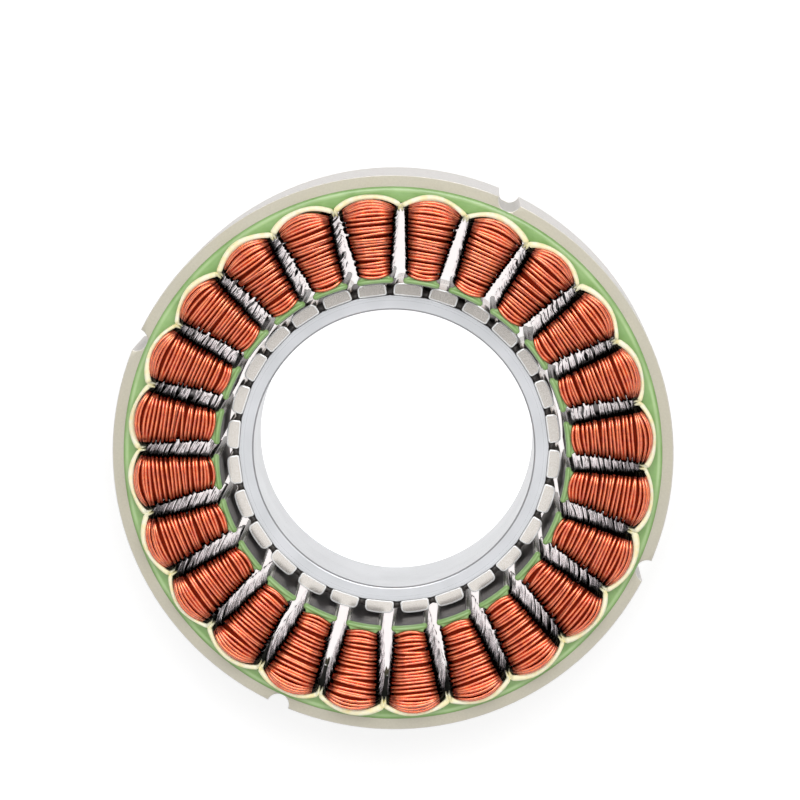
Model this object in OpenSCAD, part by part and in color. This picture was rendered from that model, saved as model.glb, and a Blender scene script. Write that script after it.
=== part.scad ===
// Frameless motor kit: a wound stator ring and the magnet rotor that spins inside it.
// The axis is +Z, the table is z = 0 under the rear end turns, and one tooth lies on +X.

/* [Stator core] */
// Outside diameter of the lamination stack
stator_od = 100; // [97:0.5:120]
// Length of the lamination stack
stack_length = 21; // [14:0.5:40]
// Radial width of the yoke behind the slots
yoke_width = 4.6; // [4.2:0.1:6]
// Width of each tooth between its two slots
tooth_width = 3.6; // [3:0.1:4.2]
// Gap between neighbouring shoes
slot_opening = 2.4; // [1.8:0.1:3]
// Radial depth of a shoe at its two ends
shoe_tip = 0.8; // [0.6:0.1:1.2]
// Depth that a shoe gains from its ends to its tooth
shoe_rise = 0.4; // [0.2:0.1:0.8]
// Radius of the locating notches down the outside
notch_radius = 1.95; // [1.2:0.05:2.2]

/* [Insulating coat] */
// Thickness of the moulded-on coat over the teeth and slots
coat_thickness = 0.35; // [0.2:0.05:0.5]
// Width of the bare ring left on both end faces
bare_land = 2; // [1.2:0.1:2.2]
// How far the coat stops short of the ground bore
coat_setback = 0.1; // [0.05:0.05:0.3]

/* [Coils] */
// Diameter of the enamelled wire
wire_diameter = 0.65; // [0.5:0.05:0.9]
// Gap between neighbouring turns
turn_gap = 0.05; // [0.02:0.01:0.1]
// Gap between neighbouring coils at the shoes
coil_gap_inner = 2; // [1.4:0.1:2.4]
// Gap between neighbouring coils at the yoke
coil_gap_outer = 0.9; // [0.8:0.1:2]
// Height of the end turns above the stack at their crown
head_height = 5.2; // [4.4:0.1:7]
// Height of the end turns above the stack at the shoes
head_start = 1.4; // [1.2:0.1:3.6]
// Height of the outermost turn above the stack
head_end = 3.2; // [2:0.1:4]
// Radial distance from the outermost turn in to the crown
crown_setback = 2.6; // [2:0.1:5]
// Bend radius of the wire where it turns over a tooth
head_bend = 2; // [1:0.1:2.4]
// Radius of the coil's outer end seen along the axis
head_round = 8.5; // [7.5:0.1:11]
// Turns that lean out over the yoke
overhang_turns = 3; // [2:1:3]

/* [Paper cuffs] */
// Thickness of the insulating paper
cuff_thickness = 0.45; // [0.2:0.05:0.6]
// Height of the paper above the coat
cuff_height = 2.8; // [0.6:0.1:3.6]

/* [Crossovers] */
// Diameter of the sleeved wires that link the coils of a phase
sleeve_diameter = 1; // [0.8:0.05:1.1]

/* [Rotor] */
// Bore of the hub
rotor_bore = 50.6; // [45:0.2:56]
// Wall of the hub under the middle of a magnet
hub_wall = 2.55; // [1.5:0.05:4]
// Length of the hub
rotor_length = 19; // [12:0.5:30]
// Chamfer at both ends of the bore
bore_chamfer = 0.3; // [0.1:0.05:0.6]
// Running gap between the magnets and the shoes
air_gap = 0.55; // [0.4:0.05:0.9]

/* [Magnets] */
// Radial thickness at the middle of a magnet
magnet_thickness = 2.4; // [1.8:0.1:3]
// Width across a magnet
magnet_width = 5.2; // [4.4:0.1:5.6]
// Radius of a magnet's crowned outer face
magnet_crown = 12; // [8:0.5:28]
// Radius of a magnet's long edges
magnet_corner = 0.8; // [0.2:0.05:0.9]
// How far the magnets stop short of the hub's ends
magnet_inset = 0.2; // [0:0.05:1]

/* [Hidden] */
$fn = 144;

// Counts that the winding scheme ties together: pairs of neighbouring teeth take the phases in turn.
tooth_count = 24;
pole_count = 28;
notch_count = 4;
phase_count = 3;
pair_teeth = 2;

// Clearance of a coil on its coated tooth, of the paper round the coil, and between sleeves
wrap_clearance = 0.05;
// Least gap between the papers of neighbouring coils
cuff_gap = 0.6;
// Overlap that makes cuts and unions run clean
bite = 1;
// How far a groove's layer reaches into the ridges beside it
lap = 0.04;

tooth_pitch = 360 / tooth_count;
pole_pitch = 360 / pole_count;
half_pitch_slope = tan(tooth_pitch / 2);

// Levels along the axis
core_z = head_height;
core_top = core_z + stack_length;
core_mid = core_z + stack_length / 2;

// Radii of the rotor, from its bore out to the magnets' crests
hub_flat_r = rotor_bore / 2 + hub_wall;
hub_corner_r = hub_flat_r / cos(pole_pitch / 2);
magnet_crest_r = hub_flat_r + magnet_thickness;
magnet_length = rotor_length - 2 * magnet_inset;

// Radii of the core, whose bore clears the rotor by the running gap
core_r = stator_od / 2;
bore_r = magnet_crest_r + air_gap;
slot_bottom_r = core_r - yoke_width;
shoe_back_r = bore_r + shoe_tip;
shoe_root_r = shoe_back_r + shoe_rise;
shoe_half = (bore_r + shoe_tip / 2) * half_pitch_slope - slot_opening / 2;
coat_r = core_r - bare_land;

// Radial run of a coil, from its innermost turn to the turn that leans furthest out
turn_pitch = wire_diameter + turn_gap;
ridge = 0.7 * turn_pitch;
groove = turn_pitch - ridge;
groove_depth = wire_diameter / 4;
coil_in_r = shoe_root_r + coat_thickness + wrap_clearance;
widest_half = slot_bottom_r * half_pitch_slope - coil_gap_outer / 2;
slot_end_r = sqrt((slot_bottom_r - coat_thickness) ^ 2 - widest_half ^ 2) - wrap_clearance;
slot_turns = floor((slot_end_r - coil_in_r) / turn_pitch);
coil_turns = slot_turns + overhang_turns;
coil_end_r = coil_in_r + coil_turns * turn_pitch;
crown_r = coil_end_r - crown_setback;
round_centre_r = coil_end_r - head_round;

// Half the window that a coil leaves for its coated tooth
window_half = tooth_width / 2 + coat_thickness + wrap_clearance;
window_top = stack_length / 2 + coat_thickness + wrap_clearance;

// Paper cuff, an arc about the same centre as the coil's outer end
cuff_in = head_round + wrap_clearance;
cuff_out = cuff_in + cuff_thickness;
cuff_reach = slot_end_r * half_pitch_slope - cuff_gap / 2;
cuff_angle = asin(cuff_reach / cuff_out);

// Radius of the sleeved links, just outside the paper
link_r = round_centre_r + cuff_out + wrap_clearance + sleeve_diameter / 2;

// Winding scheme: each phase has one pair of coils in every group of teeth.
group_teeth = pair_teeth * phase_count;
group_count = tooth_count / group_teeth;
phases = ["u", "v", "w"];

function numbered(name, n) = str(name, "_", n < 10 ? "0" : "", n);

// Half width of a coil at radius r: along the slot's flank, then round its outer end
function flank_half(r) =
    r * half_pitch_slope
    - lookup(r, [[coil_in_r, coil_gap_inner], [slot_end_r, coil_gap_outer]]) / 2;
function coil_half(r) =
    min(flank_half(r), sqrt(max(0, head_round ^ 2 - max(0, r - round_centre_r) ^ 2)));

// Height of the end turns above the stack: an easy rise to the crown, then a round fall
function rise(r) = (1 - cos(180 * (r - coil_in_r) / (crown_r - coil_in_r))) / 2;
function fall(r) = sqrt(1 - ((r - crown_r) / crown_setback) ^ 2);
function head(r) =
    r < crown_r
    ? head_start + (head_height - head_start) * rise(r)
    : head_end + (head_height - head_end) * fall(r);

// Lamination stack

module notches() {
    for (n = [0:notch_count - 1])
        rotate(n * 360 / notch_count)
            translate([core_r, 0])
                circle(notch_radius);
}

// One tooth with its round-ended shoe, grown by the given skin on the sides that face the slots
module tooth_outline(skin, inner_r) {
    flank = tooth_width / 2 + skin;
    end_round = (shoe_back_r + skin - inner_r) / 2;
    end_y = shoe_half + skin - end_round;
    polygon([
        [inner_r - bite, -end_y],
        [shoe_back_r + skin, -end_y],
        [shoe_root_r + skin, -flank],
        [slot_bottom_r + bite, -flank],
        [slot_bottom_r + bite, flank],
        [shoe_root_r + skin, flank],
        [shoe_back_r + skin, end_y],
        [inner_r - bite, end_y]
    ]);
    for (side = [-1, 1])
        translate([inner_r + end_round, side * end_y])
            circle(end_round, $fn = 32);
}

// Yoke and teeth between the given radii
module core_outline(skin, inner_r, outer_r) {
    difference() {
        union() {
            difference() {
                circle(outer_r);
                circle(slot_bottom_r - skin);
            }
            for (t = [0:tooth_count - 1])
                rotate(t * tooth_pitch)
                    tooth_outline(skin, inner_r);
        }
        circle(inner_r);
        notches();
    }
}

module stator_core() {
    color("silver")
        translate([0, 0, core_z])
            linear_extrude(stack_length)
                core_outline(0, bore_r, core_r);
}

// The coat lines the slots and covers both end faces up to the bare ring.
module insulating_coat() {
    color("yellowgreen")
        difference() {
            translate([0, 0, core_z - coat_thickness])
                linear_extrude(stack_length + 2 * coat_thickness)
                    core_outline(coat_thickness, bore_r + coat_setback, coat_r);
            translate([0, 0, core_z])
                linear_extrude(stack_length)
                    core_outline(0, bore_r, core_r);
        }
}

// Coils

module rounded_rectangle(half_w, half_h, corner) {
    square([2 * half_w, 2 * (half_h - corner)], center = true);
    square([2 * (half_w - corner), 2 * half_h], center = true);
    for (x = [-1, 1], y = [-1, 1])
        translate([x * (half_w - corner), y * (half_h - corner)])
            circle(corner, $fn = 32);
}

// The loop of one turn round its tooth, bent no wider than it stands above the stack. Past the slot it
// is only two caps over the yoke.
module turn_outline(half_w, half_h, in_slot) {
    bend = min(head_bend, 0.9 * half_w, half_h - stack_length / 2);
    difference() {
        rounded_rectangle(half_w, half_h, bend);
        square([2 * (in_slot ? window_half : half_w + bite), 2 * window_top], center = true);
    }
}

// One layer of a coil, as wide as the coil is at the layer's outer face
module turn_slab(start_r, thickness, depth, in_slot) {
    half_w = coil_half(start_r + thickness) - depth;
    half_h = stack_length / 2 + head(start_r + thickness / 2) - depth;
    translate([start_r, 0, 0])
        rotate([90, 0, 90])
            linear_extrude(thickness)
                turn_outline(half_w, half_h, in_slot);
}

// A coil of tooth n: one ridge and one groove for each turn that shows
module coil(n) {
    color("sienna")
        rotate((n - 1) * tooth_pitch)
            translate([0, 0, core_mid])
                for (t = [0:coil_turns - 1]) {
                    start_r = coil_in_r + t * turn_pitch;
                    turn_slab(start_r, ridge, 0, t < slot_turns);
                    if (t < coil_turns - 1)
                        turn_slab(start_r + ridge - lap, groove + 2 * lap, groove_depth, t < slot_turns);
                }
}

// Paper round the outer end of every coil, standing on the coat at both ends of the stack
module paper_cuffs() {
    color("khaki")
        for (t = [0:tooth_count - 1], z = [core_top + coat_thickness, core_z - coat_thickness - cuff_height])
            rotate(t * tooth_pitch)
                translate([round_centre_r, 0, z])
                    rotate(-cuff_angle)
                        rotate_extrude(angle = 2 * cuff_angle)
                            translate([cuff_in, 0])
                                square([cuff_thickness, cuff_height]);
}

// Sleeved links round the rear end turns, stacked on the coat outside the paper

function track_z(track) =
    core_z - coat_thickness - sleeve_diameter / 2 - wrap_clearance
    - track * (sleeve_diameter + wrap_clearance);

// A sleeve on the given track, from one tooth's coil to another's
module sleeve(track, from_tooth, to_tooth) {
    translate([0, 0, track_z(track)])
        rotate(from_tooth * tooth_pitch)
            rotate_extrude(angle = (to_tooth - from_tooth) * tooth_pitch)
                translate([link_r, 0])
                    circle(d = sleeve_diameter, $fn = 24);
}

// The last coil of each pair is linked to the first coil of the same phase in the next group.
module crossovers(phase) {
    last = pair_teeth * phase + 1;
    color("orange")
        for (g = [0:group_count - 2])
            sleeve(phase, last + g * group_teeth, last + (g + 1) * group_teeth - 1);
}

// The three phases end on one link, in the first track's free stretch.
module star_link() {
    last = 1 + (group_count - 1) * group_teeth;
    color("orange")
        sleeve(0, last, last + (phase_count - 1) * pair_teeth);
}

// Rotor

// Steel ring with one flat for each magnet
module rotor_hub() {
    color("lightsteelblue")
        difference() {
            linear_extrude(rotor_length)
                polygon([for (p = [0:pole_count - 1])
                    hub_corner_r * [cos(p * pole_pitch), sin(p * pole_pitch)]]);
            translate([0, 0, -bite])
                cylinder(rotor_length + 2 * bite, d = rotor_bore);
            for (top = [0, 1])
                translate([0, 0, top * rotor_length])
                    mirror([0, 0, top])
                        cylinder(bore_chamfer, r1 = rotor_bore / 2 + bore_chamfer, r2 = rotor_bore / 2);
        }
}

// Loaf-shaped magnet bonded to flat n of the hub
module magnet(n) {
    color("gainsboro")
        rotate((n - 0.5) * pole_pitch)
            translate([0, 0, magnet_inset])
                linear_extrude(magnet_length)
                    intersection() {
                        translate([hub_flat_r + magnet_thickness / 2, 0])
                            rounded_rectangle(magnet_thickness / 2, magnet_width / 2, magnet_corner);
                        translate([magnet_crest_r - magnet_crown, 0])
                            circle(magnet_crown);
                    }
}

stator_core();
insulating_coat();
paper_cuffs();
for (n = [1:tooth_count])
    coil(n);
for (p = [0:phase_count - 1])
    crossovers(p);
star_link();
rotor_hub();
for (n = [1:pole_count])
    magnet(n);
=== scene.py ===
"""Dresses the frameless motor: wound coils, paper, coat, magnets and hub under soft studio light."""

import math
import random

import bmesh
import bpy
import numpy as np
from mathutils import Matrix, Vector
from mathutils.geometry import tessellate_polygon


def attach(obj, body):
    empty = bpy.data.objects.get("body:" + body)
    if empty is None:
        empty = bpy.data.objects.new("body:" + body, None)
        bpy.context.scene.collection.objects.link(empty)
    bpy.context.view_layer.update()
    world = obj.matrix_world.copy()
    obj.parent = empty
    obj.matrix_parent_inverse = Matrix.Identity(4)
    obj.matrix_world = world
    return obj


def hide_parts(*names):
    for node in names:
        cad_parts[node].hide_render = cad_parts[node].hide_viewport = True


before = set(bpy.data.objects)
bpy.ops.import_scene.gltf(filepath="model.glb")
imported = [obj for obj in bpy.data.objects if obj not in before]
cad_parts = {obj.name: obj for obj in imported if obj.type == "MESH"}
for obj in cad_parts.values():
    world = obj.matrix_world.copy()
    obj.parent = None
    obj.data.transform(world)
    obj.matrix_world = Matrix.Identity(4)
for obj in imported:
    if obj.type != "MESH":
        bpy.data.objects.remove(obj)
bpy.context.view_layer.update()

# Sizes in millimetres, as in the part's source
MM = 0.001
TEETH = 24
POLES = 28
STACK = 21.0
CORE_TOP = 26.2
CORE_LOW = CORE_TOP - STACK
CORE_MID = CORE_TOP - STACK / 2
BORE_R = 30.8
YOKE_R = 45.4
TOOTH_W = 3.6
SHOE_TIP = 0.8
SHOE_RISE = 0.4
SLOT_OPENING = 2.4
COAT = 0.35
COAT_R = 48.0
COAT_BORE_R = 30.9
COIL_IN_R = 32.4
SLOT_END_R = 44.66
CROWN_R = 43.8
CROWN_SETBACK = 2.6
HEAD_START = 1.4
HEAD_HEIGHT = 5.2
HEAD_END = 3.2
GAP_INNER = 2.0
GAP_OUTER = 0.9
ROUND_R = 8.5
ROUND_CENTRE = 37.9
PAPER_HEIGHT = 2.8
HUB_FLAT_R = 27.85
ROTOR_LEN = 19.0
MAGNET_W = 5.2
MAGNET_T = 2.4
MAGNET_CROWN = 12.0
MAGNET_INSET = 0.2

TOOTH_PITCH = 2 * math.pi / TEETH
POLE_PITCH = 2 * math.pi / POLES
HALF_SLOPE = math.tan(TOOTH_PITCH / 2)


# Geometry helpers

# Vertices nearer than this are one vertex
MERGE = 0.001


class Build:
    """Gathers a mesh in millimetres, with a mark for each vertex, and a slot and a shading for each face."""

    def __init__(self):
        self.verts, self.marks = [], []
        self.faces, self.slots, self.smooth = [], [], []

    def add(self, verts, faces, slots=0, smooth=True, marks=0.0):
        """Adds faces, with one slot for all or a list with one for each. Marks go with the vertices."""
        start = len(self.verts)
        self.verts.extend(verts)
        self.marks.extend(np.broadcast_to(marks, len(verts)))
        self.faces.extend([[i + start for i in f] for f in faces])
        self.slots.extend(np.broadcast_to(slots, len(faces)))
        self.smooth.extend([smooth] * len(faces))

    def loft(self, rings, slots=0, caps=True, marks=0.0):
        """Joins rings of points, all of one length, into a skin. Slots and marks may be one for each ring."""
        n, count = len(rings[0]), len(rings)
        verts = [p for ring in rings for p in ring]
        faces = []
        for r in range(count - 1):
            a, b = r * n, (r + 1) * n
            faces += [[a + i, a + (i + 1) % n, b + (i + 1) % n, b + i] for i in range(n)]
        ring_slots = np.broadcast_to(slots, count)
        face_slots = list(np.repeat(ring_slots[:-1], n))
        if caps:
            faces.append(list(range(n))[::-1])
            faces.append([(count - 1) * n + i for i in range(n)])
            face_slots += [ring_slots[0], ring_slots[-1]]
        self.add(verts, faces, face_slots, marks=np.repeat(np.broadcast_to(marks, count), n))

    def object(self, name, materials, mark_name=None):
        """Makes the object, with vertices that meet merged and all faces turned outwards."""
        mesh = bpy.data.meshes.new(name)
        mesh.from_pydata((np.asarray(self.verts, float) * MM).tolist(), [], self.faces)
        for m in materials:
            mesh.materials.append(m)
        mesh.polygons.foreach_set("material_index", self.slots)
        mesh.polygons.foreach_set("use_smooth", self.smooth)
        if mark_name:
            mesh.attributes.new(mark_name, "FLOAT", "POINT").data.foreach_set("value", self.marks)
        edit = bmesh.new()
        edit.from_mesh(mesh)
        bmesh.ops.remove_doubles(edit, verts=edit.verts, dist=MERGE * MM)
        bmesh.ops.recalc_face_normals(edit, faces=edit.faces)
        edit.to_mesh(mesh)
        edit.free()
        obj = bpy.data.objects.new(name, mesh)
        bpy.context.scene.collection.objects.link(obj)
        return obj


def tube_rings(path, radius, sides):
    """Rings of points round a path, with a frame carried along it."""
    path = np.asarray(path, float)
    tangents = np.gradient(path, axis=0)
    tangents /= np.linalg.norm(tangents, axis=1)[:, None]
    side = np.cross(tangents[0], [1.0, 0.0, 0.0])
    side /= np.linalg.norm(side)
    angles = np.arange(sides) * 2 * math.pi / sides
    rings = []
    for point, along in zip(path, tangents):
        side = side - along * (side @ along)
        side /= np.linalg.norm(side)
        other = np.cross(along, side)
        rings.append(point + radius * (np.outer(np.cos(angles), side) + np.outer(np.sin(angles), other)))
    return rings


def turned(points, angle):
    """Points turned about the motor's axis."""
    c, s = math.cos(angle), math.sin(angle)
    p = np.asarray(points, float)
    return np.stack([c * p[:, 0] - s * p[:, 1], s * p[:, 0] + c * p[:, 1], p[:, 2]], axis=1)


def inset(points, depth):
    """A closed outline moved to the right of its own direction."""
    p = np.asarray(points, float)
    along = np.roll(p, -1, axis=0) - np.roll(p, 1, axis=0)
    along /= np.linalg.norm(along, axis=1)[:, None]
    return p + depth * np.stack([along[:, 1], -along[:, 0]], axis=1)


# Waves along a coil or a paper: how many sines, their heights, how these fade, their rates, and the scale
WAVE_TERMS = 4
WAVE_LEAST, WAVE_MOST = 0.4, 1.0
WAVE_FADE = 0.4
WAVE_RATE, WAVE_RATE_STEP = 3, 4
WAVE_SCALE = 1.6


def wave(rng):
    """A smooth random curve over 0..1, about -1 to 1 in value."""
    terms = []
    for k in range(WAVE_TERMS):
        height = rng.uniform(WAVE_LEAST, WAVE_MOST) / (1 + WAVE_FADE * k)
        terms.append((height, rng.uniform(0, 2 * math.pi), WAVE_RATE + WAVE_RATE_STEP * k))
    return lambda t: sum(a * math.sin(f * t + p) for a, p, f in terms) / WAVE_SCALE


# Material helpers

# Part of a noise's range that most of its values lie in, and a wider part for gentle changes
NOISE_LOW, NOISE_HIGH = 0.3, 0.7
NOISE_FLOOR, NOISE_CEILING = 0.2, 0.8

# How much of a normal points along the axis: at most the first on walls, at least the second on faces
WALL_SLOPE, FACE_SLOPE = 0.5, 0.8

# Half the width of a soft border between two radii
BORDER = 0.5

# The mix node's sockets for colours
FIRST_COLOUR, SECOND_COLOUR, MIXED_COLOUR = 6, 7, 2


def srgb(r, g, b):
    """A colour written in 0-255 screen values, as the linear colour that renders as it."""
    lin = [v / 255 / 12.92 if v <= 10 else ((v / 255 + 0.055) / 1.055) ** 2.4 for v in (r, g, b)]
    return (*lin, 1.0)


def add_node(tree, kind, **settings):
    """A new node with its settings."""
    n = tree.nodes.new(kind)
    for key, value in settings.items():
        setattr(n, key, value)
    return n


class Shader:
    """A material with short ways to add nodes. Sizes are in millimetres."""

    def __init__(self, name, **sockets):
        self.material = bpy.data.materials.new(name)
        self.material.use_nodes = True
        self.tree = self.material.node_tree
        self.bsdf = self.tree.nodes["Principled BSDF"]
        self.position = self.node("ShaderNodeTexCoord").outputs["Object"]
        self.set(**sockets)

    def node(self, kind, **settings):
        return add_node(self.tree, kind, **settings)

    def put(self, value, socket):
        """Links a socket to another node's output, or sets its constant."""
        if isinstance(value, bpy.types.NodeSocket):
            self.tree.links.new(value, socket)
        else:
            socket.default_value = value

    def set(self, **sockets):
        """Fills the main shader's sockets, named with _ for each space."""
        for name, value in sockets.items():
            self.put(value, self.bsdf.inputs[name.replace("_", " ")])

    def math(self, operation, *values):
        n = self.node("ShaderNodeMath", operation=operation)
        for v, socket in zip(values, n.inputs):
            self.put(v, socket)
        return n.outputs[0]

    def axes(self, vector=None):
        n = self.node("ShaderNodeSeparateXYZ")
        self.put(vector or self.position, n.inputs[0])
        return n.outputs

    def radius(self):
        """Distance from the motor's axis."""
        x, y, _ = self.axes()
        squares = self.math("ADD", self.math("MULTIPLY", x, x), self.math("MULTIPLY", y, y))
        return self.math("SQRT", squares)

    def inside_radius(self, limit):
        """1 nearer to the motor's axis than the limit, 0 beyond it."""
        return self.span(self.radius(), (limit + BORDER) * MM, (limit - BORDER) * MM)

    def off(self, value, middle):
        """Distance of a value from a middle one."""
        return self.math("ABSOLUTE", self.math("SUBTRACT", value, middle * MM))

    def mark(self, name):
        return self.node("ShaderNodeAttribute", attribute_name=name).outputs["Fac"]

    def stretched(self, x, y, z):
        n = self.node("ShaderNodeVectorMath", operation="MULTIPLY")
        self.put(self.position, n.inputs[0])
        n.inputs[1].default_value = (x, y, z)
        return n.outputs[0]

    def noise(self, size, detail=3.0, rough=0.55, vector=None):
        n = self.node("ShaderNodeTexNoise")
        self.put(vector or self.position, n.inputs["Vector"])
        n.inputs["Scale"].default_value = 1 / (size * MM)
        n.inputs["Detail"].default_value = detail
        n.inputs["Roughness"].default_value = rough
        return n.outputs["Fac"]

    def line_noise(self, value, size, detail):
        """Noise that changes with one value only, such as the height."""
        n = self.node("ShaderNodeTexNoise", noise_dimensions="1D")
        self.put(value, n.inputs["W"])
        n.inputs["Scale"].default_value = 1 / (size * MM)
        n.inputs["Detail"].default_value = detail
        return n.outputs["Fac"]

    def span(self, value, low, high, to_low=0.0, to_high=1.0, smooth=False):
        """Maps the range from low to high on another one."""
        n = self.node("ShaderNodeMapRange", interpolation_type="SMOOTHSTEP" if smooth else "LINEAR")
        for v, socket in zip((value, low, high, to_low, to_high), n.inputs):
            self.put(v, socket)
        return n.outputs[0]

    def spread(self, noise, to_low=0.0, to_high=1.0):
        """A noise spread over a range."""
        return self.span(noise, NOISE_LOW, NOISE_HIGH, to_low, to_high)

    def gentle(self, noise, to_low, to_high):
        """A noise spread over a range that it seldom fills."""
        return self.span(noise, NOISE_FLOOR, NOISE_CEILING, to_low, to_high)

    def mix(self, share, first, second):
        n = self.node("ShaderNodeMix", data_type="RGBA")
        self.put(share, n.inputs["Factor"])
        self.put(first, n.inputs[FIRST_COLOUR])
        self.put(second, n.inputs[SECOND_COLOUR])
        return n.outputs[MIXED_COLOUR]

    def bump(self, height, strength, depth):
        n = self.node("ShaderNodeBump")
        n.inputs["Strength"].default_value = strength
        n.inputs["Distance"].default_value = depth * MM
        self.put(height, n.inputs["Height"])
        self.put(n.outputs[0], self.bsdf.inputs["Normal"])

    def facing_up(self):
        """1 on faces that look along the axis, 0 on walls."""
        normal = self.axes(self.node("ShaderNodeNewGeometry").outputs["Normal"])[2]
        return self.span(self.math("ABSOLUTE", normal), WALL_SLOPE, FACE_SLOPE)


# Materials

# Radii that part a node's surfaces: the notches' walls and the shoes' bore faces, which both get painted
# shade, and the coat on the shoes, where the slots' painted shade is lighter
NOTCH_SHADE_R = 49.3
BORE_SHADE_R = 32.0
SHOE_COAT_R = 33.0

# Crest of the coat's outer edge, which gets a painted highlight, and the border where it turns down into a
# slot and its painted shade starts
CREST_R = 47.35
CREST_EDGE, CREST_CORE = 0.4, 0.1
SLOT_BORDER = 0.8

# Mark on the wire: 0 over the tooth, 1 where it enters its slot, 2 half way down. The wire's painted shade
# and painted reflection follow it
SLOT_DEPTH = "slot_depth"


def lamination_steel():
    """Bare steel: speckled on the faces, fine lines of sheets on the outside, and painted shade on the
    notches' walls and, dark, on the bore faces.
    """
    s = Shader("lamination_steel", Metallic=0.45)
    up = s.facing_up()
    streaks = s.noise(0.35, 4.0, 0.7)
    blotches = s.noise(7.0)
    face = s.mix(streaks, srgb(177, 171, 153), srgb(208, 202, 186))
    face = s.mix(s.spread(blotches, 0.0, 0.35), face, srgb(190, 187, 178))
    sheets = s.line_noise(s.axes()[2], 0.3, 1.0)
    outside = s.mix(s.spread(sheets), srgb(214, 209, 206), srgb(244, 241, 238))
    # The notches' walls are painted darker: painted shade.
    outside = s.mix(s.inside_radius(NOTCH_SHADE_R), outside, srgb(196, 192, 186))
    # The shoes' bore faces are painted dark grey: painted shade.
    bore = s.mix(s.spread(sheets), srgb(52, 48, 48), srgb(78, 74, 74))
    wall = s.mix(s.inside_radius(BORE_SHADE_R), outside, bore)
    s.set(Base_Color=s.mix(up, wall, face), Roughness=s.gentle(streaks, 0.38, 0.55))
    s.bump(s.mix(up, sheets, streaks), 0.35, 0.05)
    return s.material


def steel_edge():
    """The core's rounded edges, with a painted highlight outside and painted shade in the bore."""
    s = Shader("steel_edge", Metallic=0.5)
    highlight_noise = s.noise(0.6)
    # Pale edges outside: painted highlight, patchy with noise.
    painted_bright = s.mix(highlight_noise, srgb(205, 200, 192), srgb(240, 238, 234))
    # In the bore the edges get painted shade instead.
    s.set(Base_Color=s.mix(s.inside_radius(BORE_SHADE_R), painted_bright, srgb(92, 88, 88)))
    s.set(Roughness=s.span(highlight_noise, 0, 1, 0.25, 0.45))
    return s.material


def insulating_coat():
    """Green coat, glossy on its faces with a painted highlight along its outer crest, and dull with painted
    shade down in the slots, lighter on the shoes.
    """
    s = Shader("insulating_coat", Specular_IOR_Level=0.6)
    face = s.mix(s.spread(s.noise(3.5)), srgb(136, 176, 105), srgb(156, 191, 127))
    at_crest = s.span(s.off(s.radius(), CREST_R), CREST_EDGE * MM, CREST_CORE * MM)
    # A paler crest: painted highlight, made patchy by noise.
    highlight_noise = s.span(s.noise(6.0, 2.0), 0.35, 0.6, 0.25, 0.9)
    face = s.mix(s.math("MULTIPLY", at_crest, highlight_noise), face, srgb(178, 206, 150))
    # Down in the slots the coat is painted dark: painted shade, lighter and greyer on the shoes.
    at_shoe = s.inside_radius(SHOE_COAT_R)
    slot = s.mix(at_shoe, srgb(44, 52, 36), srgb(104, 107, 96))
    slot_gloss = s.span(at_shoe, 0, 1, 0.7, 0.25)
    level = s.off(s.axes()[2], CORE_MID)
    slot_shade = s.span(level, STACK / 2 * MM, (STACK / 2 - SLOT_BORDER) * MM, smooth=True)
    s.set(Base_Color=s.mix(slot_shade, face, slot), Roughness=s.span(slot_shade, 0, 1, 0.2, slot_gloss))
    s.bump(s.noise(0.7, 2.0), 0.15, 0.06)
    return s.material


def paper():
    """Cream insulating paper with fine fibres."""
    s = Shader("insulating_paper", Specular_IOR_Level=0.5, Roughness=0.5)
    fibres = s.noise(0.12, 4.0, 0.7, s.stretched(1, 1, 0.25))
    tone = s.noise(1.3, 2.0)
    colour = s.mix(s.span(tone, 0.35, 0.75), srgb(255, 253, 226), srgb(255, 240, 170))
    colour = s.mix(s.span(fibres, 0.35, 0.8, 0.0, 0.35), colour, srgb(255, 252, 226))
    s.set(Base_Color=colour)
    s.bump(fibres, 0.3, 0.03)
    return s.material


def copper_wire():
    """Enamelled wire over the heads, with ragged painted shade, dark red then nearly black, where it bends
    down into the slots.
    """
    s = Shader("copper_wire", Metallic=1.0, Coat_Roughness=0.1, Coat_IOR=2.0)
    flaw = s.noise(0.18)
    depth = s.math("ADD", s.mark(SLOT_DEPTH), s.spread(s.noise(0.7, 2.0), -0.16, 0.1))
    bare = s.mix(s.spread(s.noise(1.1, 2.0)), srgb(220, 84, 28), srgb(250, 124, 50))
    # Where the wire bends down, painted shade: first dark red, then nearly black, and the coat fades out
    # there too.
    red_bend_shade = s.mix(s.span(depth, 0.55, 0.92, smooth=True), bare, srgb(122, 25, 12))
    deep_bend_shade = s.span(depth, 0.86, 1.02, smooth=True)
    s.set(Base_Color=s.mix(deep_bend_shade, red_bend_shade, srgb(14, 6, 6)), Roughness=s.gentle(flaw, 0.22, 0.3))
    s.set(Coat_Weight=s.span(depth, 0.55, 0.95, 1.0, 0.0))
    s.bump(flaw, 0.1, 0.02)
    return s.material


def slot_wire():
    """The same wire in the slots: nearly black with painted shade near the heads, and streaked white deeper
    down so that it mirrors the floor, a painted reflection where it shows in the gaps.
    """
    s = Shader("slot_wire", Metallic=1.0)
    streak = s.noise(0.5, vector=s.stretched(1, 1, 0.05))
    depth = s.math("ADD", s.mark(SLOT_DEPTH), s.spread(streak, -0.25, 0.25))
    # White streaks deep in the slot stand in for the floor's reflection: painted reflection. Elsewhere the
    # wire is nearly black: painted shade.
    painted_bright = s.math("MULTIPLY", s.span(depth, 1.15, 1.45), s.span(streak, 0.34, 0.48, 0.15, 1.0))
    s.set(Base_Color=s.mix(painted_bright, srgb(16, 8, 9), srgb(255, 251, 253)))
    s.set(Roughness=s.span(painted_bright, 0, 1, 0.4, 0.08))
    return s.material


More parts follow.
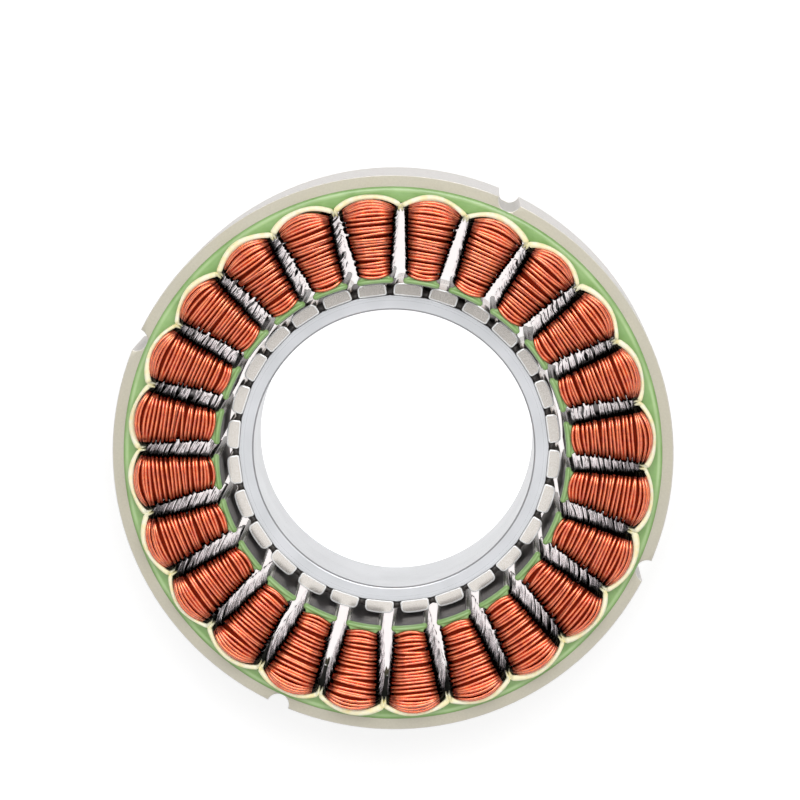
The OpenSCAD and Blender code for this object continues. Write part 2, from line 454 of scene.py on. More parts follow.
def coil_shade():
    """The layers below the outer turns, which show only in the gaps between these: copper painted dark red
    and dull, as painted shade.
    """
    s = Shader("coil_inside", Specular_IOR_Level=0.0, Roughness=0.6)
    s.set(Base_Color=s.mix(s.noise(0.5), srgb(96, 22, 9), srgb(144, 42, 20)))
    return s.material


def rotor_steel():
    """Turned steel: rings of fine tool marks on the faces, and lines round the walls, which are painted
    darker than the faces as shade.
    """
    s = Shader("rotor_steel", Metallic=0.7)
    up = s.facing_up()
    rings = s.line_noise(s.radius(), 0.12, 3.0)
    lines = s.line_noise(s.axes()[2], 0.1, 3.0)
    turning = s.mix(up, lines, rings)
    cloud = s.spread(s.noise(9.0, 2.0))
    face = s.mix(cloud, srgb(208, 210, 213), srgb(222, 223, 227))
    # The walls are painted darker than the faces: painted shade.
    wall = s.mix(cloud, srgb(176, 177, 180), srgb(190, 191, 194))
    s.set(Base_Color=s.mix(up, wall, face), Roughness=s.gentle(turning, 0.27, 0.3))
    s.bump(turning, 0.01, 0.02)
    return s.material


def magnet_face():
    """Grainy nickel plate."""
    s = Shader("magnet_nickel", Metallic=0.75)
    grain = s.noise(0.16, 4.0, 0.7)
    cloud = s.noise(2.4, 2.0)
    colour = s.mix(s.span(grain, 0.25, 0.75), srgb(204, 197, 190), srgb(234, 229, 223))
    colour = s.mix(s.span(cloud, 0.35, 0.7, 0.0, 0.3), colour, srgb(222, 216, 209))
    s.set(Base_Color=colour, Roughness=s.gentle(grain, 0.12, 0.2))
    s.bump(grain, 0.1, 0.02)
    return s.material


def magnet_edge_highlight():
    """The magnets' rims, painted white: painted highlight."""
    s = Shader("magnet_edge_highlight", Metallic=0.2)
    highlight_noise = s.noise(0.4)
    s.set(Base_Color=s.mix(highlight_noise, srgb(248, 247, 245), srgb(255, 255, 255)))
    s.set(Roughness=s.span(highlight_noise, 0, 1, 0.15, 0.25))
    return s.material


def adhesive():
    """Dark lumpy filling."""
    s = Shader("magnet_adhesive", Specular_IOR_Level=0.5, Roughness=0.45)
    lumps = s.noise(0.5, 4.0)
    s.set(Base_Color=s.mix(s.span(lumps, 0.3, 0.75), srgb(34, 31, 30), srgb(92, 87, 84)))
    s.bump(lumps, 0.6, 0.15)
    return s.material


def sleeving():
    """Varnished woven sleeves."""
    s = Shader("woven_sleeving", Coat_Weight=0.2, Coat_Roughness=0.3)
    weave = s.noise(0.22, 2.0)
    colour = s.mix(s.spread(s.noise(4.0, 2.0)), srgb(222, 212, 184), srgb(242, 236, 216))
    s.set(Base_Color=colour, Roughness=s.gentle(weave, 0.5, 0.75))
    s.bump(weave, 0.5, 0.06)
    return s.material


# Winding

TURNS = 22
WIRE_R = 0.31
WIRE_SIDES = 8
COIL_SEED = 100

# Material slots of a coil, and the mark from which a turn is down in its slot
WIRE, LEG, INSIDE = 0, 1, 2
IN_SLOT = 0.9

# Heads: the first and the last turn, the dome from one slot to the other, and the bow out towards the yoke
HEAD_IN_R = 31.7
HEAD_OUT_R = 46.4
HEAD_MARGIN = 0.14
HEAD_STEPS = 17
STATION_STEPS = 400
DOME = 0.77
DOME_HEIGHT = 2.1
DOME_SINK = 0.45
BOW_POWER = 2.1

# Legs: in line with their heads from one radius to the other, crowded together at the last one, and barrelled
SETTLED_R = 35.0
FREE_R = 42.8
LEG_END_R = 44.2
LEG_STEPS = 8
LEG_BARREL = 0.25
LEG_OUT = 0.08
LEG_REACH = 0.3

# How far the turns lie from an even winding
LEG_LOOSE = 0.12
LEG_DRIFT = 0.14
LEG_STAND = 0.05
LEG_SWAY = 0.16
LEG_TWIST = 2
LEG_BULGE = 0.6
BOW_LOOSE = 0.07
HEAD_LOW, HEAD_HIGH = -0.06, 0.03
STRAY_SHARE = 0.05
STRAY_SHIFT = 0.34

# The layers below the outer turns: how far in they lie, and their grooves
HEAD_COVER = 0.5
LEG_COVER = 0.85
UNDER_GROOVE = 0.2
UNDER_STEPS = 4
BLOCK_STEPS = 15
BLOCK_SINK = 0.5
BLOCK_START = 0.25
BLOCK_RISE = 0.3
COAT_CLEAR = 0.02
WRAP_CLEAR = 0.05


def flank_half(r):
    """Half of a coil's width at a radius."""
    gap = np.interp(r, [COIL_IN_R, SLOT_END_R], [GAP_INNER, GAP_OUTER])
    return r * HALF_SLOPE - gap / 2


def head_height(r):
    """Height of the end turns above the stack."""
    if r < CROWN_R:
        rise = (1 - math.cos(math.pi * max(0.0, r - COIL_IN_R) / (CROWN_R - COIL_IN_R))) / 2
        return HEAD_START + (HEAD_HEIGHT - HEAD_START) * rise
    fall = math.sqrt(max(0.0, 1 - ((r - CROWN_R) / CROWN_SETBACK) ** 2))
    return HEAD_END + (HEAD_HEIGHT - HEAD_END) * fall


def head_stations():
    """Radii of the turns at the middle of a head, evenly spaced along the head's outline."""
    radii = np.linspace(HEAD_IN_R + WIRE_R, HEAD_OUT_R - WIRE_R, STATION_STEPS)
    heights = np.array([head_height(r) for r in radii])
    length = np.concatenate([[0], np.cumsum(np.hypot(np.diff(radii), np.diff(heights)))])
    return np.interp(np.linspace(0, length[-1], TURNS), length, radii)


def leg_radius(station):
    """Where a turn goes down its slot: clear of the shoe, and crowded together at the slot's end."""
    stations = [HEAD_IN_R + WIRE_R, SETTLED_R, FREE_R, HEAD_OUT_R - WIRE_R]
    return float(np.interp(station, stations, [COIL_IN_R + WIRE_R, SETTLED_R, FREE_R, LEG_END_R]))


def dome(count):
    """A head's shape over its tooth: across from 1 to -1, its height from 0 to 1, and how steep it is."""
    shape = []
    for angle in np.linspace(0, math.pi, count):
        c, s = math.cos(angle), max(0.0, math.sin(angle))
        shape.append((math.copysign(abs(c) ** DOME, c), s**DOME, abs(c)))
    return shape


def dome_height(height):
    """How far down its sides a head is rounded, given its height above the stack."""
    return min(DOME_HEIGHT, height + DOME_SINK)


class HalfTurn:
    """One leg of a coil in its slot and the head after it."""

    def __init__(self, index, station, rng, drift):
        self.side = 1 if index % 2 == 0 else -1
        stray = rng.random() < STRAY_SHARE
        shift = drift(index / (2 * TURNS)) * LEG_DRIFT + rng.gauss(0, LEG_LOOSE)
        shift += rng.choice((-1, 1)) * STRAY_SHIFT if stray else 0
        leg_r = leg_radius(station)
        self.leg_r = min(max(leg_r + shift, COIL_IN_R + WIRE_R), LEG_END_R)
        self.bow = station - leg_r + rng.gauss(0, BOW_LOOSE)
        self.half_w = flank_half(self.leg_r) - WIRE_R - LEG_BARREL + rng.gauss(LEG_OUT, LEG_STAND)
        lift = HEAD_MARGIN if stray else rng.uniform(HEAD_LOW, HEAD_HIGH)
        self.height = head_height(station) - WIRE_R - HEAD_MARGIN + lift
        self.sway, self.twist, self.bulge, self.tilt = [rng.gauss(0, LEG_SWAY) for _ in range(4)]

    def points(self, after):
        """Points along the leg and over the head to the next leg, each marked with its depth in the slot."""
        rise = dome_height(self.height)
        straight = STACK / 2 + self.height - rise
        found = []
        for share in np.linspace(-1, 1, LEG_STEPS + 1)[:-1]:
            free = 1 - share * share
            along = free * (self.sway + LEG_TWIST * self.twist * share)
            outwards = free * min(LEG_REACH, LEG_BARREL + LEG_BULGE * self.bulge + self.tilt * share)
            found.append((self.leg_r + along, self.half_w + outwards, straight * share, 1 + free))
        for across, up, steep in dome(HEAD_STEPS):
            half_w = self.half_w if across > 0 else after.half_w
            r = self.leg_r + (after.leg_r - self.leg_r) * (1 - across) / 2
            r += self.bow * (1 - abs(across) ** BOW_POWER)
            found.append((r, half_w * across, straight + rise * up, steep))
        return [(r, self.side * y, CORE_MID + self.side * z, mark) for r, y, z, mark in found]


def winding_path(rng):
    """One wire wound round a tooth, from its shoe out to the yoke."""
    drifts = [wave(rng), wave(rng)]
    stations = np.repeat(head_stations(), 2)
    halves = [HalfTurn(i, r, rng, drifts[i % 2]) for i, r in enumerate(stations)]
    path = []
    for half, after in zip(halves, halves[1:]):
        path += half.points(after)[:-1]
    return np.array(path)


def head_block(build, up):
    """The inside of a coil's head, coloured as copper in painted shade: a ridge of the layer below lies under
    each gap between the outer turns.
    """
    rings = []
    low = STACK / 2 + COAT + COAT_CLEAR
    stations = head_stations()
    for place in np.arange(1, UNDER_STEPS * (TURNS - 1)) / UNDER_STEPS:
        station = float(np.interp(place, range(TURNS), stations))
        groove = UNDER_GROOVE * (1 + math.cos(2 * math.pi * place)) / 2
        leg_r = leg_radius(station)
        half_w = flank_half(leg_r) - LEG_COVER - WIRE_R - groove
        height = head_height(station) - HEAD_COVER - HEAD_MARGIN - groove
        rise = dome_height(height)
        foot = STACK / 2 + height - rise
        outline = [(half_w * across, max(low, foot + rise * lift)) for across, lift, _ in dome(BLOCK_STEPS)]
        outline += [(-half_w, low - BLOCK_SINK), (half_w, low - BLOCK_SINK)]
        bow = station - leg_r
        ring = []
        for y, z in outline:
            ring.append((leg_r + bow * (1 - abs(y / half_w) ** BOW_POWER), y, CORE_MID + up * z))
        rings.append(ring)
    build.loft(rings, INSIDE)


def leg_block(build, side):
    """The inside of a coil's leg in its slot, marked so that the wire's painted shade makes it nearly black.
    """
    inner = TOOTH_W / 2 + COAT + WRAP_CLEAR
    half_h = STACK / 2 + BLOCK_RISE
    rings = []
    for r in np.linspace(COIL_IN_R + BLOCK_START, LEG_END_R, LEG_STEPS):
        outer = flank_half(r) - LEG_COVER
        corners = [(inner, -half_h), (outer, -half_h), (outer, half_h), (inner, half_h)]
        rings.append([(r, side * y, CORE_MID + z) for y, z in corners])
    build.loft(rings, LEG, marks=1.0)


def coil(number, materials):
    """One coil: its wire, and the layers below the wire."""
    path = winding_path(random.Random(COIL_SEED + number))
    depth = path[:, 3]
    build = Build()
    slots = np.where(depth > IN_SLOT, LEG, WIRE)
    build.loft(tube_rings(path[:, :3], WIRE_R, WIRE_SIDES), slots, marks=depth)
    for way in (1, -1):
        head_block(build, way)
        leg_block(build, way)
    build.verts = list(turned(build.verts, (number - 1) * TOOTH_PITCH))
    obj = build.object(f"winding_{number:02d}", materials, SLOT_DEPTH)
    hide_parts(f"coil_{number:02d}")
    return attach(obj, "stator")


# Insulating coat

# Points along a shoe's face, its round end, a tooth's flank, a slot's end and a rounded edge
SHOE_STEPS, TIP_STEPS, FLANK_STEPS, SLOT_STEPS, EDGE_STEPS = 6, 9, 6, 6, 6

# Fillet between a shoe and its tooth, where the flank's even points start, and the corner at a slot's end
FILLET_DEPTH = 0.7
FILLET_MIDDLE = (0.25, 0.12)
FLANK_START = 2
CORNER = 0.7
CORNER_MIDDLE = 0.2

# Round edges round the slots, and the outer edge: depth in from the rim and height above the core
COAT_EDGE = 0.34
RIM_POINTS = 192
RIM_SWELL = [(0.0, 0.0), (0.05, 0.15), (0.17, 0.27), (0.4, 0.37), (0.75, 0.42), (1.15, 0.39), (1.6, COAT)]

# Roll of coat along the end of a shoe
BEAD_R = 31.43
BEAD_HALF_W = 0.52
BEAD_HALF_LENGTH = 3.15
BEAD_RISE = 0.75
BEAD_STEPS = 21
BEAD_SIDES = 10
BEAD_TIP = 0.02
BEAD_BLUNT = 0.4


def shoe_outline():
    """Half of a coated tooth's outline, from the middle of its shoe out to the middle of the slot's end."""
    back = BORE_R + SHOE_TIP + COAT
    root = back + SHOE_RISE
    tip = (BORE_R + SHOE_TIP / 2) * HALF_SLOPE - SLOT_OPENING / 2 + COAT
    end_round = (back - COAT_BORE_R) / 2
    end_y = tip - end_round
    flank = TOOTH_W / 2 + COAT
    slot_r = YOKE_R - COAT
    points = []
    for share in np.linspace(0, 1, SHOE_STEPS)[:-1]:
        angle = share * math.asin(end_y / COAT_BORE_R)
        points.append((COAT_BORE_R * math.cos(angle), COAT_BORE_R * math.sin(angle)))
    centre = math.sqrt(COAT_BORE_R**2 - end_y**2) + end_round
    for angle in np.linspace(math.pi, 0, TIP_STEPS):
        points.append((centre + end_round * math.cos(angle), end_y + end_round * math.sin(angle)))
    points.append((root + FILLET_MIDDLE[0], flank + FILLET_MIDDLE[1]))
    points.append((root + FILLET_DEPTH, flank))
    reach = math.sqrt(slot_r**2 - flank**2)
    points += [(r, flank) for r in np.linspace(root + FLANK_START, reach - CORNER, FLANK_STEPS)]
    points.append((reach - CORNER_MIDDLE, flank + CORNER_MIDDLE))
    start = math.asin((flank + CORNER) / slot_r)
    for angle in np.linspace(start, TOOTH_PITCH / 2, SLOT_STEPS):
        points.append((slot_r * math.cos(angle), slot_r * math.sin(angle)))
    return points


def shoe_bead(build, turn, up):
    """The rounded roll of coat along the end of a shoe."""
    rings = []
    for share in np.linspace(-1, 1, BEAD_STEPS):
        y = BEAD_HALF_LENGTH * math.sin(share * math.pi / 2)
        swell = max(BEAD_TIP, math.cos(share * math.pi / 2)) ** BEAD_BLUNT
        middle = math.sqrt(BEAD_R**2 - y * y)
        ring = []
        for angle in np.linspace(0, math.pi, BEAD_SIDES):
            x = middle + BEAD_HALF_W * swell * math.cos(angle)
            z = STACK / 2 + BEAD_RISE * swell * math.sin(angle)
            ring.append((x, y, CORE_MID + up * z))
        rings.append(turned(ring, turn))
    build.loft(rings)


def insulating_coat_mesh(material):
    """The coat over both faces and through the slots, with a bead on each shoe."""
    half = shoe_outline()
    tooth = [(x, -y) for x, y in half[::-1]][:-1] + half
    toothed = []
    for t in range(TEETH):
        c, s = math.cos(t * TOOTH_PITCH), math.sin(t * TOOTH_PITCH)
        toothed += [(c * x - s * y, s * x + c * y) for x, y in tooth[:-1]]
    around = np.linspace(0, 2 * math.pi, RIM_POINTS, endpoint=False)

    def slot_ring(angle, base, up):
        """The toothed outline, part of the way round its rounded edge."""
        z = base + up * (COAT - COAT_EDGE * (1 - math.sin(angle)))
        return [(x, y, z) for x, y in inset(toothed, COAT_EDGE * (1 - math.cos(angle)))]

    def rim_ring(depth, height, base, up):
        """A circle of the outer edge."""
        r = COAT_R - depth
        return [(r * math.cos(a), r * math.sin(a), base + up * height) for a in around]

    build = Build()
    edge = np.linspace(0, math.pi / 2, EDGE_STEPS)
    slot_rings = [slot_ring(a, CORE_LOW, -1) for a in edge[::-1]] + [slot_ring(a, CORE_TOP, 1) for a in edge]
    build.loft(slot_rings, caps=False)
    rim_low = [rim_ring(d, h, CORE_LOW, -1) for d, h in RIM_SWELL]
    rim_top = [rim_ring(d, h, CORE_TOP, 1) for d, h in RIM_SWELL]
    build.loft([ring[::-1] for ring in rim_low[::-1] + rim_top], caps=False)
    for outer, inner in ((rim_top[-1], slot_rings[-1]), (rim_low[-1], slot_rings[0])):
        loops = [[Vector(p) for p in outer], [Vector(p) for p in inner]]
        build.add(outer + inner, tessellate_polygon(loops), smooth=False)
    for t in range(TEETH):
        for up in (1, -1):
            shoe_bead(build, t * TOOTH_PITCH, up)
    obj = build.object("coat_moulding", [material])
    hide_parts("insulating_coat")
    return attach(obj, "stator")


# Paper round the coils

CUFF_SEED = 7

# Seen from above: an arc round the coil, a bend, and a tail down between two coils
CUFF_IN_R = ROUND_R + 0.03
CUFF_ANGLE = math.radians(38.0)
CUFF_BEND = 0.4
CUFF_TAIL = 0.75
ARC_STEPS, BEND_STEPS, TAIL_STEPS = 16, 7, 5

# Section: width at the foot and over the rest, lean in over the turns, and their waves along the paper
CUFF_FOOT = 0.45
CUFF_WIDTH, WIDTH_WAVE, LEAST_WIDTH = 0.66, 0.28, 0.36
CUFF_LEAN, LEAN_WAVE = 0.26, 0.14
HEIGHT_WAVE = 0.25

# The tail's end: how much lower it is, and its width
TAIL_DROP = 0.9
TAIL_WIDTH = 0.2


def cuff_path():
    """A paper's coil side from above: points, their outward directions, and how far into a tail they are."""
    slot_turn = math.pi / 2 + TOOTH_PITCH / 2
    places = []
    for angle in np.linspace(0, CUFF_ANGLE, ARC_STEPS):
        out = np.array([math.cos(angle), math.sin(angle)])
        places.append((np.array([ROUND_CENTRE, 0.0]) + CUFF_IN_R * out, out, 0.0))
    centre = places[-1][0] - CUFF_BEND * places[-1][1]
    for share in np.linspace(0, 1, BEND_STEPS)[1:]:
        angle = CUFF_ANGLE + share * (slot_turn - CUFF_ANGLE)
        out = np.array([math.cos(angle), math.sin(angle)])
        places.append((centre + CUFF_BEND * out, out, share / 2))
    corner, out, _ = places[-1]
    along = np.array([-out[1], out[0]])
    for share in np.linspace(0, 1, TAIL_STEPS)[1:]:
        places.append((corner + share * CUFF_TAIL * along, out, (1 + share) / 2))
    flip = np.array([1.0, -1.0])
    return [(p * flip, out * flip, end) for p, out, end in places[:0:-1]] + places


def cuff_profile(height, lean, width):
    """A paper's section, as distances out from the coil and heights. Its top leans in on the turns."""
    return [
        (0.0, 0.0),
        (0.0, 0.6 * height),
        (-lean, height - 0.25),
        (0.12 - lean, height),
        (0.6 * width, height + 0.05),
        (width, height - 0.2),
        (0.85 * width, 0.5 * height),
        (min(CUFF_FOOT, width), 0.0),
    ]


def paper_cuffs_mesh(material):
    """All papers, front and rear, each with its own waves."""
    rng = random.Random(CUFF_SEED)
    build = Build()
    path = cuff_path()
    for t in range(TEETH):
        for up in (1, -1):
            tall, lean, thick = wave(rng), wave(rng), wave(rng)
            base = CORE_TOP + COAT if up > 0 else CORE_LOW - COAT
            rings = []
            for spot, (place, out, end) in zip(np.linspace(0, 1, len(path)), path):
                height = PAPER_HEIGHT + HEIGHT_WAVE * tall(spot) - TAIL_DROP * end
                over = max(0.0, CUFF_LEAN + LEAN_WAVE * lean(spot)) * (1 - end)
                width = max(LEAST_WIDTH, CUFF_WIDTH + WIDTH_WAVE * thick(spot)) * (1 - end) + TAIL_WIDTH * end
                ring = []
                for rho, z in cuff_profile(height, over, width):
                    x, y = place + rho * out
                    ring.append((x, y, base + up * z))
                rings.append(turned(ring, t * TOOTH_PITCH))
            build.loft(rings)
    obj = build.object("paper_wraps", [material])
    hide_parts("paper_cuffs")
    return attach(obj, "stator")


# Adhesive between the magnets

# How far it rises and sags, where it starts and stops, and how far it reaches into magnets and hub
ADHESIVE_SEED = 11
FILL = 1.25
FILL_LESS, FILL_MORE = -0.15, 0.2
SAG_LEAST, SAG_MOST = 0.15, 0.35
FILL_LOW = MAGNET_INSET + 0.25
FILL_TOP = ROTOR_LEN - 0.55
FILL_FOOT = 0.02
FILL_BITE = 0.02
HUB_BITE = 0.05


def flank_point(height, way):
    """A point on a magnet's flank, on one side of a gap that lies on +X, at a height above the flat."""
    x, y = HUB_FLAT_R + height, MAGNET_W / 2 - FILL_BITE
    a = way * POLE_PITCH / 2
    return (math.cos(a) * x + math.sin(a) * way * y, math.sin(a) * x - math.cos(a) * way * y)


def adhesive_mesh(material):
    """A filling between each two magnets, with a sunk surface."""
    rng = random.Random(ADHESIVE_SEED)
    corner_r = HUB_FLAT_R / math.cos(POLE_PITCH / 2)
    build = Build()
    for p in range(POLES):
        rise = FILL + rng.uniform(FILL_LESS, FILL_MORE)
        sag = rng.uniform(SAG_LEAST, SAG_MOST)
        heights = (FILL_FOOT, rise / 2, rise)
        right = [flank_point(h, -1) for h in heights]
        left = [flank_point(h, 1) for h in heights[::-1]]
        outline = right + [(corner_r + rise - sag, 0.0)] + left + [(corner_r - HUB_BITE, 0.0)]
        levels = (FILL_LOW, FILL_TOP)
        build.loft([turned([(x, y, z) for x, y in outline], p * POLE_PITCH) for z in levels])
    obj = build.object("magnet_adhesive", [material])
    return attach(obj, "rotor")


# Magnets

# Material slots of a magnet: its faces, and its rims with a painted highlight
FACE, EDGE = 0, 1
OUTER_CORNER, INNER_CORNER = 0.9, 0.5
CROWN_STEPS, OUTER_STEPS, INNER_STEPS = 6, 9, 7

# The rounded rim at both ends of a magnet, which carries a painted highlight: depth in from the outline and
# distance from the end
HIGHLIGHT_RIM = [(0.28, 0.0), (0.06, 0.05), (0.02, 0.07), (0.0, 0.12)]


def magnet_outline():
    """A magnet's section, with its crowned face outwards and all corners round."""
    crown_x = HUB_FLAT_R + MAGNET_T - MAGNET_CROWN
    side = MAGNET_W / 2 - OUTER_CORNER
    corner_x = crown_x + math.sqrt((MAGNET_CROWN - OUTER_CORNER) ** 2 - side**2)
    meet = math.asin(side / (MAGNET_CROWN - OUTER_CORNER))
    half = []
    for a in np.linspace(0, meet, CROWN_STEPS)[:-1]:
        half.append((crown_x + MAGNET_CROWN * math.cos(a), MAGNET_CROWN * math.sin(a)))
    for a in np.linspace(meet, math.pi / 2, OUTER_STEPS):
        half.append((corner_x + OUTER_CORNER * math.cos(a), side + OUTER_CORNER * math.sin(a)))
    for a in np.linspace(math.pi / 2, math.pi, INNER_STEPS):
        x = HUB_FLAT_R + INNER_CORNER * (1 + math.cos(a))
        half.append((x, MAGNET_W / 2 - INNER_CORNER * (1 - math.sin(a))))
    return half + [(x, -y) for x, y in half[:0:-1]]


def magnet(number, materials):
    """One magnet on its flat, with rounded rims that carry a painted highlight."""
    outline = magnet_outline()
    low, high = MAGNET_INSET, ROTOR_LEN - MAGNET_INSET
    rings, slots = [], []
    for depth, drop in HIGHLIGHT_RIM:
        rings.append([(x, y, low + drop) for x, y in inset(outline, -depth)])
        slots.append(EDGE if depth else FACE)
    rings += [[(x, y, low + high - z) for x, y, z in ring] for ring in rings[::-1]]
    slots += [EDGE] * len(slots)
    build = Build()
    build.loft(rings, slots, caps=False)
    for ring in (rings[0][::-1], rings[-1]):
        build.add(ring, [list(range(len(ring)))], FACE, smooth=False)
    build.verts = list(turned(build.verts, (number - 0.5) * POLE_PITCH))
    obj = build.object(f"magnet_block_{number:02d}", materials)
    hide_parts(f"magnet_{number:02d}")
    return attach(obj, "rotor")


# CAD nodes that stay

CORE_EDGE = 0.14
HUB_EDGE = 0.12
EDGE_SEGMENTS = 2
SHARP_ANGLE = math.radians(40)
WELD = 0.002


def finish_node(name, materials, edge=0.0, edge_slot=0):
    """Gives a CAD node its materials and, where an edge size is given, rounded edges."""
    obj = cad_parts[name]
    obj.data.materials.clear()
    for m in materials:
        obj.data.materials.append(m)
    if edge:
        weld = obj.modifiers.new("weld", "WELD")
        weld.merge_threshold = WELD * MM
        bevel = obj.modifiers.new("rounded_edges", "BEVEL")
        bevel.width = edge * MM
        bevel.segments = EDGE_SEGMENTS
        bevel.limit_method = "ANGLE"
        bevel.angle_limit = SHARP_ANGLE
        bevel.material = edge_slot
        bevel.use_clamp_overlap = False
        normals = obj.modifiers.new("normals", "WEIGHTED_NORMAL")
        normals.keep_sharp = False
    return obj


# Studio

# The photograph's view: angle of its right-hand direction about the axis, and the camera's place
VIEW_TURN = math.radians(24.45)
VIEW_DISTANCE = 550.0
VIEW_RISE = math.radians(8.11)
VIEW_YAW = math.radians(1.51)
FOCAL_PX = 5.6149 * VIEW_DISTANCE
CENTRE_PX = (392.43, 455.78)
IMAGE_PX = 800
SENSOR_MM = 36.0

# Floor, in metres: it glows for the camera and in reflections, brighter under the motor than round it
FLOOR_HALF = 4.0
FLOOR_DROP = 0.0002
FLOOR_TONE = 0.55
GLOW_UNDER, GLOW_ROUND = 0.92, 0.58
UNDER_R, ROUND_ABOUT_R = 0.044, 0.054

# Key light, in metres along the picture's right and up and towards the viewer
KEY_PLACE = (0.06, 0.46, 0.8)
KEY_AIM = (0, 0, 0.015)
KEY_SIZE = (0.7, 0.45)
KEY_POWER = 3.4

# Sky: the mix node's sockets for its light and for the plain white that the camera sees
SKY_LIT, SKY_SEEN = 2, 3

# Its strength overhead and at the rim, with the heights between which it changes, and the dim patch
SKY_TOP, SKY_RIM = 1.25, 0.25
SKY_LOW, SKY_HIGH = 0.5, 0.94
PATCH_LEVEL = 0.15
PATCH_EDGE, PATCH_CORE = math.radians(8.5), math.radians(6.5)


def studio(right, up, out):
    """A place in metres, given along the picture's right, its up, and towards the viewer."""
    c, s = math.cos(VIEW_TURN), math.sin(VIEW_TURN)
    return Vector((c * right - s * up, s * right + c * up, out))


def add_camera():
    """The photograph's camera, which aims a little off the motor's middle."""
    e, a = VIEW_RISE, VIEW_YAW
    back = Vector((math.sin(a) * math.cos(e), math.sin(e), math.cos(a) * math.cos(e)))
    right = Vector((0, 1, 0)).cross(back).normalized()
    up = back.cross(right)
    off_x = (CENTRE_PX[0] - IMAGE_PX / 2) * VIEW_DISTANCE / FOCAL_PX
    off_y = -(CENTRE_PX[1] - IMAGE_PX / 2) * VIEW_DISTANCE / FOCAL_PX
    pose = Matrix((right, up, back)).transposed().to_4x4()
    pose.translation = (back * VIEW_DISTANCE - right * off_x - up * off_y) * MM
    data = bpy.data.cameras.new("camera")
    data.sensor_width = SENSOR_MM
    data.lens = FOCAL_PX / IMAGE_PX * SENSOR_MM
    cam = bpy.data.objects.new("camera", data)
    bpy.context.scene.collection.objects.link(cam)
    cam.matrix_world = Matrix.Translation((0, 0, CORE_TOP * MM)) @ Matrix.Rotation(VIEW_TURN, 4, "Z") @ pose
    bpy.context.scene.camera = cam


def add_ramp(tree, value, *limits, shape="LINEAR"):
    """Maps a value from its first two limits to the last two."""
    n = add_node(tree, "ShaderNodeMapRange", interpolation_type=shape)
    for socket, limit in zip(list(n.inputs)[1:5], limits):
        socket.default_value = limit
    tree.links.new(value, n.inputs[0])
    return n.outputs[0]


def floor_material():
    """A pale floor that takes shadows, with a glow that lights nothing."""
    m = bpy.data.materials.new("floor_white")
    m.use_nodes = True
    t = m.node_tree
    t.nodes.clear()
    diffuse = add_node(t, "ShaderNodeBsdfDiffuse")
    diffuse.inputs["Color"].default_value = (FLOOR_TONE, FLOOR_TONE, FLOOR_TONE, 1)
    path = add_node(t, "ShaderNodeLightPath")
    seen = add_node(t, "ShaderNodeMath", operation="MAXIMUM")
    t.links.new(path.outputs["Is Camera Ray"], seen.inputs[0])
    t.links.new(path.outputs["Is Glossy Ray"], seen.inputs[1])
    away = add_node(t, "ShaderNodeVectorMath", operation="LENGTH")
    t.links.new(add_node(t, "ShaderNodeTexCoord").outputs["Object"], away.inputs[0])
    spread = add_ramp(t, away.outputs["Value"], UNDER_R, ROUND_ABOUT_R, GLOW_UNDER, GLOW_ROUND)
    strength = add_node(t, "ShaderNodeMath", operation="MULTIPLY")
    t.links.new(seen.outputs[0], strength.inputs[0])
    t.links.new(spread, strength.inputs[1])
    glow = add_node(t, "ShaderNodeEmission")
    t.links.new(strength.outputs[0], glow.inputs["Strength"])
    both = add_node(t, "ShaderNodeAddShader")
    t.links.new(diffuse.outputs[0], both.inputs[0])
    t.links.new(glow.outputs[0], both.inputs[1])
    out = add_node(t, "ShaderNodeOutputMaterial")
    t.links.new(both.outputs[0], out.inputs["Surface"])
    return m


def add_floor():
    """A plain floor just under the motor."""
    half = FLOOR_HALF
    corners = [(-half, -half, 0), (half, -half, 0), (half, half, 0), (-half, half, 0)]
    mesh = bpy.data.meshes.new("floor")
    mesh.from_pydata(corners, [], [(0, 1, 2, 3)])
    mesh.materials.append(floor_material())
    floor = bpy.data.objects.new("floor", mesh)
    floor.location = (0, 0, -FLOOR_DROP)
    bpy.context.scene.collection.objects.link(floor)


def add_key():
    """A soft light from the picture's top, which lays the shadow towards its bottom."""
    data = bpy.data.lights.new("key", "AREA")
    data.shape = "RECTANGLE"
    data.size, data.size_y = KEY_SIZE
    data.energy = KEY_POWER
    key = bpy.data.objects.new("key", data)
    bpy.context.scene.collection.objects.link(key)
    place = studio(*KEY_PLACE)
    key.location = place
    key.rotation_mode = "QUATERNION"
    key.rotation_quaternion = (place - Vector(KEY_AIM)).to_track_quat("Z", "Y")


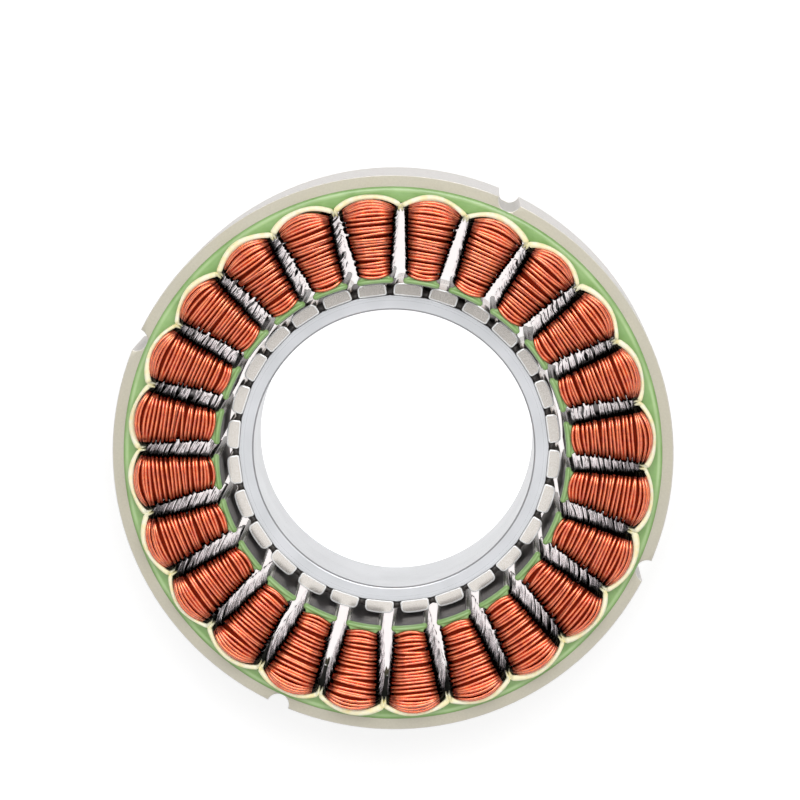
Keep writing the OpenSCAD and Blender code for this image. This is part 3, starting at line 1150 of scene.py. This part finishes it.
def add_world():
    """A white sky, brightest overhead, with a small dim patch where a camera would stand."""
    world = bpy.data.worlds.new("studio")
    bpy.context.scene.world = world
    world.use_nodes = True
    t = world.node_tree
    t.nodes.clear()
    direction = add_node(t, "ShaderNodeSeparateXYZ")
    t.links.new(add_node(t, "ShaderNodeTexCoord").outputs["Generated"], direction.inputs[0])
    height = direction.outputs[2]
    dome_light = add_ramp(t, height, SKY_LOW, SKY_HIGH, SKY_RIM, SKY_TOP, shape="SMOOTHSTEP")
    patch_limits = (math.cos(PATCH_EDGE), math.cos(PATCH_CORE), 1.0, PATCH_LEVEL)
    patch = add_ramp(t, height, *patch_limits, shape="SMOOTHSTEP")
    level = add_node(t, "ShaderNodeMath", operation="MULTIPLY")
    t.links.new(dome_light, level.inputs[0])
    t.links.new(patch, level.inputs[1])
    path = add_node(t, "ShaderNodeLightPath")
    choose = add_node(t, "ShaderNodeMix", data_type="FLOAT")
    t.links.new(path.outputs["Is Camera Ray"], choose.inputs[0])
    t.links.new(level.outputs[0], choose.inputs[SKY_LIT])
    choose.inputs[SKY_SEEN].default_value = 1.0
    sky = add_node(t, "ShaderNodeBackground")
    sky.inputs["Color"].default_value = (1, 1, 1, 1)
    t.links.new(choose.outputs[0], sky.inputs["Strength"])
    out = add_node(t, "ShaderNodeOutputWorld")
    t.links.new(sky.outputs[0], out.inputs["Surface"])


add_camera()
add_floor()
add_key()
add_world()
bpy.context.scene.view_settings.view_transform = "Standard"

winding = [copper_wire(), slot_wire(), coil_shade()]
for n in range(1, TEETH + 1):
    coil(n, winding)
insulating_coat_mesh(insulating_coat())
paper_cuffs_mesh(paper())
adhesive_mesh(adhesive())
finish_node("stator_core", [lamination_steel(), steel_edge()], CORE_EDGE, edge_slot=1)
finish_node("rotor_hub", [rotor_steel()], HUB_EDGE)
nickel = [magnet_face(), magnet_edge_highlight()]
for n in range(1, POLES + 1):
    magnet(n, nickel)
sleeve = sleeving()
for name in ("crossovers_u", "crossovers_v", "crossovers_w", "star_link"):
    finish_node(name, [sleeve])
